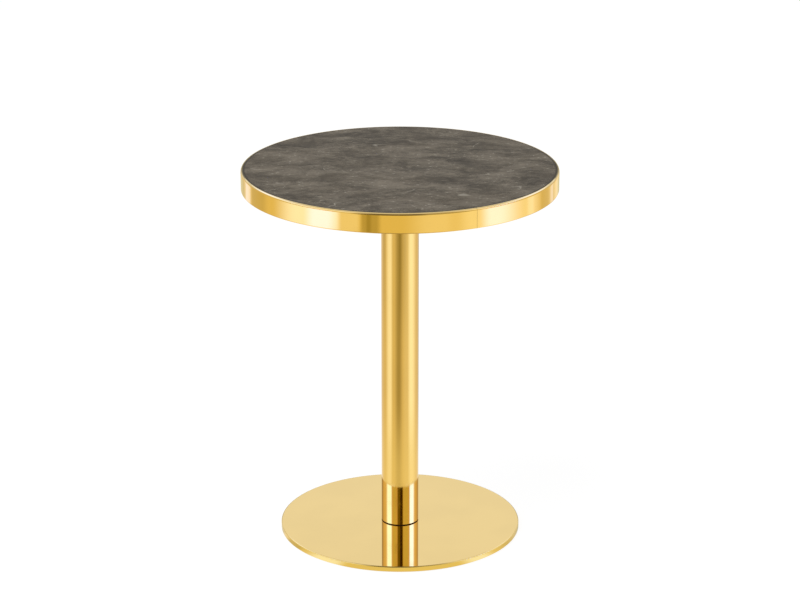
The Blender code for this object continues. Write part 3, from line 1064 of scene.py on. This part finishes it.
@dataclass
class LevellingGlides:
    """The screw-in glides: a moulded pad and a threaded stud each.

    Attributes:
        count: How many glides there are.
        pad_ease: Radius of the pad's edges.
        pad_floor: Thickness of the pad under the stud's flange.
        pad_lip: Thickness of the lip over the flange.
        key_hole: Radius of the hole for the key.
        groove: Radius of the groove that holds the flange.
        lip_hole: Radius of the hole in the lip.
        stud_thread: The stud's thread.
        stud_chamfer: Chamfer of the stud's end.
        stud_socket: The stud's key socket.
        flange_height: Thickness of the stud's flange.
    """

    count: int = 4
    pad_ease: float = 0.8 * MM
    pad_floor: float = 0.9 * MM
    pad_lip: float = 1.4 * MM
    key_hole: float = 4.5 * MM
    groove: float = 7.3 * MM
    lip_hole: float = 4.6 * MM
    stud_thread: Thread = M8_THREAD
    stud_chamfer: float = 0.8 * MM
    stud_socket: KeySocket = KeySocket(4.0 * MM, 2.5 * MM)
    flange_height: float = 1.1 * MM

    def pad_mesh(self, pad: Span) -> Mesh:
        """The pad that snaps round the stud's flange.

        Args:
            pad: Where the first pad lies.

        Returns:
            The mesh.
        """
        ease = self.pad_ease
        outline = [
            (self.lip_hole, pad.top),
            *arc((pad.radius - ease / 2, pad.top - ease / 2), ease / 2, 90, 0, SMALL_STEP),
            *arc((pad.radius - ease, pad.under + ease), ease, 0, -90, SMALL_STEP),
            (self.key_hole, pad.under),
            (self.key_hole, pad.under + self.pad_floor),
            (self.groove, pad.under + self.pad_floor),
            (self.groove, pad.top - self.pad_lip),
            (self.lip_hole, pad.top - self.pad_lip),
        ]
        return lofted("nylon_pad", plain(outline), 2 * SMALL_SIDES, looped=True)

    def stud_mesh(self, stud: Span) -> Mesh:
        """The threaded stud, with its flange and key socket below.

        Args:
            stud: Where the first stud lies.

        Returns:
            The mesh.
        """
        shank = self.stud_thread.radius
        flange_top = stud.under + self.flange_height
        rings = [
            *self.stud_socket.rings(stud.under),
            *plain([(stud.radius, stud.under), (stud.radius, flange_top), (shank, flange_top)]),
            *self.stud_thread.rings(flange_top, stud.top - self.stud_chamfer)[1:],
            *plain([(shank - self.stud_chamfer, stud.top), (0.0, stud.top)]),
        ]
        return lofted("glide_screw", rings, SMALL_SIDES)

    def build(self) -> list[Object]:
        """Builds and dresses the glides.

        Returns:
            Their pieces.
        """
        pads = Span.row("glide_pad", self.count)
        studs = Span.row("glide_stud", self.count)
        pad_mesh = self.pad_mesh(pads[0])
        stud_mesh = self.stud_mesh(studs[0])
        pieces = []
        for number, (pad, stud) in enumerate(zip(pads, studs), 1):
            pieces += [
                add_piece(f"nylon_pad_{number}", pad_mesh, BLACK_NYLON, f"glide_pad_{number}",
                          f"pad_{number}", pad.middle),
                add_piece(f"glide_screw_{number}", stud_mesh, ZINC, f"glide_stud_{number}",
                          f"stud_{number}", stud.middle),
            ]
        return pieces


# Studio

# Colours of light; softboxes look cool next to gold
NEUTRAL = (1.0, 1.0, 1.0)
WARM = (1.0, 1.03, 1.3)
SOFT = (0.6, 1.0, 2.9)
PALE = (0.5, 1.0, 4.0)
COOL = (0.32, 1.0, 6.6)
ICY = (0.32, 1.05, 10.0)
OLIVE = (-0.5, 0.8, 0.2)
PEARL = (0.4, 0.38, 4.0)
IVORY = (0.4, 0.58, 4.0)

# Tones between the bands: of the room, and of the floor's painted glow close to the base, near it and far
# from it
ROOM_LEVEL = NEUTRAL
EDGE_LEVEL = (1.03, 1.02, 0.95)
NEAR_LEVEL = (0.95, 0.95, 0.95)
FAR_LEVEL = (1.04, 1.005, 0.74)

# Even tones: of the floor's painted glow around the base, and of the light from all round
FOOT_LEVEL = (1.22, 1.31, 1.4)
AMBIENT_LEVEL = (0.5, 0.5, 0.5)

# Distances from the column, in metres, between which the floor's painted tones change
UNDER_REACH = (0.22, 0.2325)
EDGE_REACH = (0.25, 0.272)
FOOT_REACH = (0.3, 0.8)
OUTER_REACH = (0.9, 1.9)
FAR_REACH = (2.29, 2.41)
FOOT_SHARE = 0.5

# Heights over the horizon, in degrees: a plain slot in the flags, the softboxes' belt, the upper bands
SLOT = (17.0, 17.6, 21.0, 21.6)
BELT = (21.7, 22.1, 24.5, 25.0)
UPPER_RISE = (24.0, 32.0)

# Where the low room is dimmed, all round and behind the table, and by how much
DIM_AROUND = (8.0, 9.5, 13.5, 15.0)
AROUND_SHARE = 0.4
DIM_BEHIND = (-10.0, -4.0, 18.6, 20.4)
BEHIND = (150.0, 168.0)
BEHIND_SHARE = 0.78

# The ceiling's large softbox: its tone, where it is, and the cosines between which it comes up
OVERHEAD_LEVEL = (0.75, 0.70, 0.60)
OVERHEAD_AXIS = (0.0, 0.26, 0.966)
OVERHEAD_RISE = (0.74, 0.87)

# The floor's width, and its grey as light finds it and as the eye does, where a glow leaves a pale shadow
FLOOR_SIZE = 120.0
FLOOR_GREY = (0.8, 0.8, 0.8, 1.0)
SHADOW_GREY = (0.24, 0.24, 0.24, 1.0)
FLOOR_GLOW = 0.88

# The camera's sensor, in millimetres
SENSOR_WIDTH = 36.0


@dataclass(frozen=True)
class Band:
    """A bright or dark upright band in what the metal mirrors, as a softbox or a black flag gives.

    Attributes:
        start: Where its even part starts, in degrees from the front towards +X.
        end: Where its even part ends.
        rise: Over how many degrees it comes up before that.
        fall: Over how many degrees it dies away after it.
        gain: What it adds to the tone; a flag's is negative.
        light: The light's colour.
    """

    start: float
    end: float
    rise: float
    fall: float
    gain: float
    light: Colour = PALE

    def add_to(self, graph: Graph, tone: Colour | Socket, bearing: Socket) -> Socket:
        """Adds the band to a tone.

        Args:
            graph: The tree that gets the nodes.
            tone: The tone so far.
            bearing: The bearing that is looked at, in degrees.

        Returns:
            The tone with the band in it.
        """
        risen = graph.remap(bearing, (self.start - self.rise, self.start), (0.0, self.gain))
        left = graph.remap(bearing, (self.end, self.end + self.fall), (1.0, 0.0))
        glow = graph.math("MULTIPLY", risen, left)
        return graph.vector("MULTIPLY_ADD", glow, self.light, tone).outputs[0]


Bands = tuple[Band, ...]


def banded(graph: Graph, bands: Bands, level: Colour | Socket, bearing: Socket) -> Socket:
    """The tone at a bearing: the level between the bands, with each band added."""
    return reduce(lambda tone, band: band.add_to(graph, tone, bearing), bands, level)


def bearing_of(graph: Graph, parts: Node) -> Socket:
    """The bearing of a point from the front towards +X, in degrees."""
    ahead = graph.math("MULTIPLY", parts.outputs["Y"], -1.0)
    return graph.math("DEGREES", graph.math("ARCTAN2", parts.outputs["X"], ahead))


@dataclass
class Studio:
    """The pale floor, the soft light around the table and the camera.

    Attributes:
        flags: Dark bands of the room.
        upper: Bright bands of the room from about 30 degrees up.
        softboxes: Bands of a narrow belt of the room, which the column's foot finds by way of the base.
        foot_floor: Painted bands of light and shade on the floor that the base's edge finds, close in front
            of it.
        near_floor: Painted bands on the floor that the column finds.
        outer_floor: Painted bands that come on top of these towards the far floor.
        far_floor: Painted bands on the floor that the rim finds, further out.
        camera_place: Where the camera stands.
        camera_pitch: How far it looks down, in degrees.
        camera_lens: Its focal length, in millimetres.
        lamp_place: Where the overhead lamp hangs.
        lamp_size: Its width.
        lamp_power: Its power in watts.
    """

    flags: Bands = (
        Band(-30, 16, 6, 8, -0.85, NEUTRAL),
        Band(25, 48, 9, 7, -0.45, NEUTRAL),
    )
    upper: Bands = (
        Band(-150, -46, 12, 10, 0.55, SOFT),
        Band(64, 150, 8, 12, 0.45, SOFT),
    )
    softboxes: Bands = (
        Band(-154, -141, 13, 15, -0.42, NEUTRAL),
        Band(-107, -89, 18, 18, 0.3, SOFT),
        Band(-78, -60, 22, 12, 2.5, COOL),
        Band(-40, -26, 6, 6, 0.1, OLIVE),
        Band(-9.5, 15, 12, 6.5, -0.78, WARM),
        Band(5, 12, 8, 5, -0.17, WARM),
        Band(24, 48, 5, 8, 0.12, OLIVE),
        Band(69, 84.5, 12, 22, 2.45, ICY),
        Band(89, 107, 18, 18, 0.3, SOFT),
        Band(141, 154, 16, 13, -0.3, NEUTRAL),
    )
    # The floor's bands are painted light: the floor glows with them to glossy rays only
    foot_floor: Bands = (
        Band(-86, -81, 4, 5, -0.2, WARM),
        Band(-68, -60, 6, 6, -0.24, WARM),
        Band(-43, -34, 12, 8, 0.5),
        Band(40, 44, 11, 11, 0.52),
        Band(66, 110, 12, 10, -0.2, WARM),
        Band(86, 110, 12, 10, -0.2, WARM),
    )
    near_floor: Bands = (
        Band(-68, -60, 34, 18, 0.65, SOFT),
        Band(-9, -5, 30, 26, -0.42, WARM),
        Band(36, 50, 22, 20, 0.13, SOFT),
        Band(68, 74, 24, 50, 0.82, SOFT),
        Band(150, 180, 20, 1, -0.2, NEUTRAL),
    )
    outer_floor: Bands = (
        Band(-124, -104, 14, 12, -0.17, NEUTRAL),
        Band(6, 28, 20, 22, -0.2, WARM),
    )
    far_floor: Bands = (
        Band(-180, -148, 1, 6, -0.22, NEUTRAL),
        Band(-138.5, -132.5, 5, 4, 0.42, SOFT),
        Band(-126, -112, 4, 10, -0.2, NEUTRAL),
        Band(-75, -43.7, 25, 4.5, 0.8),
        Band(-60, -50.5, 10, 10, 0.93, PEARL),
        Band(-39, -29.5, 4, 4, 0.27, SOFT),
        Band(-24.5, -16, 3, 4.5, -0.36, NEUTRAL),
        Band(-21.6, -20.6, 1.5, 2.5, -0.15, NEUTRAL),
        Band(20, 30, 20, 12, 0.24, SOFT),
        Band(50, 105, 18, 13, 0.42, SOFT),
        Band(65, 69, 11.5, 28, 1.1, IVORY),
        Band(101, 104, 4, 4, 0.2),
        Band(118, 126, 4, 5, -0.12, NEUTRAL),
        Band(134.5, 136.5, 5, 3, 0.3, SOFT),
        Band(144, 149, 4, 5, 0.14, NEUTRAL),
        Band(158, 180, 6, 1, -0.27, NEUTRAL),
    )
    camera_place: Vector = Vector((0.0, -5.041, 2.1655)).freeze()
    camera_pitch: float = 18.65
    camera_lens: float = 125.2
    lamp_place: Vector = Vector((-1.4, -1.2, 3.8)).freeze()
    lamp_size: float = 3.2
    lamp_power: float = 60.0

    def painted_floor_glow(self, graph: Graph) -> Socket:
        """The painted light that the floor glows with to glossy rays, which the metal finds: even near the
        base, banded further out.

        Args:
            graph: The tree that gets the nodes.

        Returns:
            The tone.
        """
        parts = graph.node("SeparateXYZ", {0: graph.where()})
        bearing = bearing_of(graph, parts)
        reach = graph.vector("LENGTH", graph.where()).outputs["Value"]
        near = banded(graph, self.near_floor, NEAR_LEVEL, bearing)
        outer = banded(graph, self.outer_floor, near, bearing)
        near = graph.blend(graph.remap(reach, OUTER_REACH), near, outer)
        near = graph.blend(graph.remap(reach, FOOT_REACH, (FOOT_SHARE, 0.0)), near, FOOT_LEVEL)
        edge = banded(graph, self.foot_floor, EDGE_LEVEL, bearing)
        near = graph.blend(graph.remap(reach, EDGE_REACH, (1.0, 0.0)), near, edge)
        near = graph.blend(graph.remap(reach, UNDER_REACH), NEAR_LEVEL, near)
        far = banded(graph, self.far_floor, FAR_LEVEL, bearing)
        return graph.blend(graph.remap(reach, FAR_REACH), near, far)

    def build_floor(self) -> None:
        """Lays the floor: pale with a soft shadow to the eye, glowing with painted bands of light to the
        metal, open from below.
        """
        shape = bmesh.new()
        bmesh.ops.create_grid(shape, x_segments=1, y_segments=1, size=FLOOR_SIZE / 2)
        mesh = bpy.data.meshes.new("floor")
        shape.to_mesh(mesh)
        shape.free()
        material = bpy.data.materials.new("pale_floor")
        graph = Graph(material)
        path = graph.node("LightPath")
        matt = graph.node("BsdfDiffuse", {"Color": FLOOR_GREY})
        pale = graph.node("BsdfDiffuse", {"Color": SHADOW_GREY})
        glow = graph.node("Emission", {"Strength": FLOOR_GLOW})
        seen = graph.node("AddShader", {0: pale.outputs[0], 1: glow.outputs[0]})
        # Painted light: to glossy rays the floor glows with bands of light and shade for the metal to
        # mirror
        painted_glow = graph.node("Emission", {"Color": self.painted_floor_glow(graph)})
        lit = graph.either(path.outputs["Is Glossy Ray"], matt, painted_glow)
        upper = graph.either(path.outputs["Is Camera Ray"], lit, seen)
        below = graph.node("NewGeometry").outputs["Backfacing"]
        whole = graph.either(below, upper, graph.node("BsdfTransparent"))
        graph.node("OutputMaterial", {"Surface": whole.outputs[0]})
        mesh.materials.append(material)
        floor = linked("floor", mesh)

    def build_room(self) -> None:
        """Makes the room: white to the eye, banded to the metal, even light to the rest."""
        world = bpy.data.worlds.new("studio")
        graph = Graph(world)
        path = graph.node("LightPath")
        direction = graph.node("TexCoord").outputs["Generated"]
        parts = graph.node("SeparateXYZ", {0: direction})
        bearing = bearing_of(graph, parts)
        height = graph.math("DEGREES", graph.math("ARCSINE", parts.outputs["Z"]))
        flagged = banded(graph, self.flags, ROOM_LEVEL, bearing)
        high = banded(graph, self.upper, flagged, bearing)
        tone = graph.blend(graph.window(height, SLOT), flagged, ROOM_LEVEL)
        tone = graph.blend(graph.remap(height, UPPER_RISE), tone, high)
        boxes = banded(graph, self.softboxes, ROOM_LEVEL, bearing)
        tone = graph.blend(graph.window(height, BELT), tone, boxes)
        behind = graph.remap(graph.math("ABSOLUTE", bearing), BEHIND, (0.0, BEHIND_SHARE))
        behind = graph.math("MULTIPLY", behind, graph.window(height, DIM_BEHIND))
        around = graph.math("MULTIPLY", graph.window(height, DIM_AROUND), AROUND_SHARE)
        dimmed = graph.math("SUBTRACT", 1.0, graph.math("MAXIMUM", behind, around))
        tone = graph.vector("MULTIPLY", tone, dimmed).outputs[0]
        above = graph.vector("DOT_PRODUCT", direction, OVERHEAD_AXIS).outputs["Value"]
        tone = graph.blend(graph.remap(above, OVERHEAD_RISE), tone, OVERHEAD_LEVEL)
        light = graph.blend(path.outputs["Is Glossy Ray"], AMBIENT_LEVEL, tone)
        light = graph.blend(path.outputs["Is Camera Ray"], light, NEUTRAL)
        background = graph.node("Background", {"Color": light})
        graph.node("OutputWorld", {"Surface": background.outputs[0]})
        bpy.context.scene.world = world

    def build_lamp(self) -> None:
        """Hangs the large soft lamp overhead, which metal doesn't mirror."""
        data = bpy.data.lights.new("overhead_softbox", "AREA")
        data.shape = "DISK"
        data.size = self.lamp_size
        data.energy = self.lamp_power
        lamp = linked("overhead_softbox", data)
        lamp.location = self.lamp_place
        lamp.rotation_euler = self.lamp_place.to_track_quat("Z", "Y").to_euler()
        lamp.visible_camera = False
        lamp.visible_glossy = False

    def build_camera(self) -> None:
        """Stands the camera where the photograph was taken."""
        data = bpy.data.cameras.new("camera")
        data.lens = self.camera_lens
        data.sensor_width = SENSOR_WIDTH
        camera = linked("camera", data)
        camera.location = self.camera_place
        camera.rotation_euler.x = math.radians(90.0 - self.camera_pitch)
        bpy.context.scene.camera = camera

    def build(self) -> None:
        """Builds the floor, the room, the lamp and the camera."""
        self.build_floor()
        self.build_room()
        self.build_lamp()
        self.build_camera()
        bpy.context.scene.view_settings.view_transform = "Standard"


def main() -> None:
    """Builds each sub-assembly in order, then the studio, and reports every piece."""
    logging.basicConfig(level=logging.INFO, format="%(name)s: %(message)s")
    for assembly in (TopAssembly(), ColumnAssembly(), BaseAssembly(), LevellingGlides()):
        for piece in assembly.build():
            log.info("%s: %s on %s", type(assembly).__name__, piece.name, piece["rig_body"])
    Studio().build()


if __name__ == "__main__":
    main()
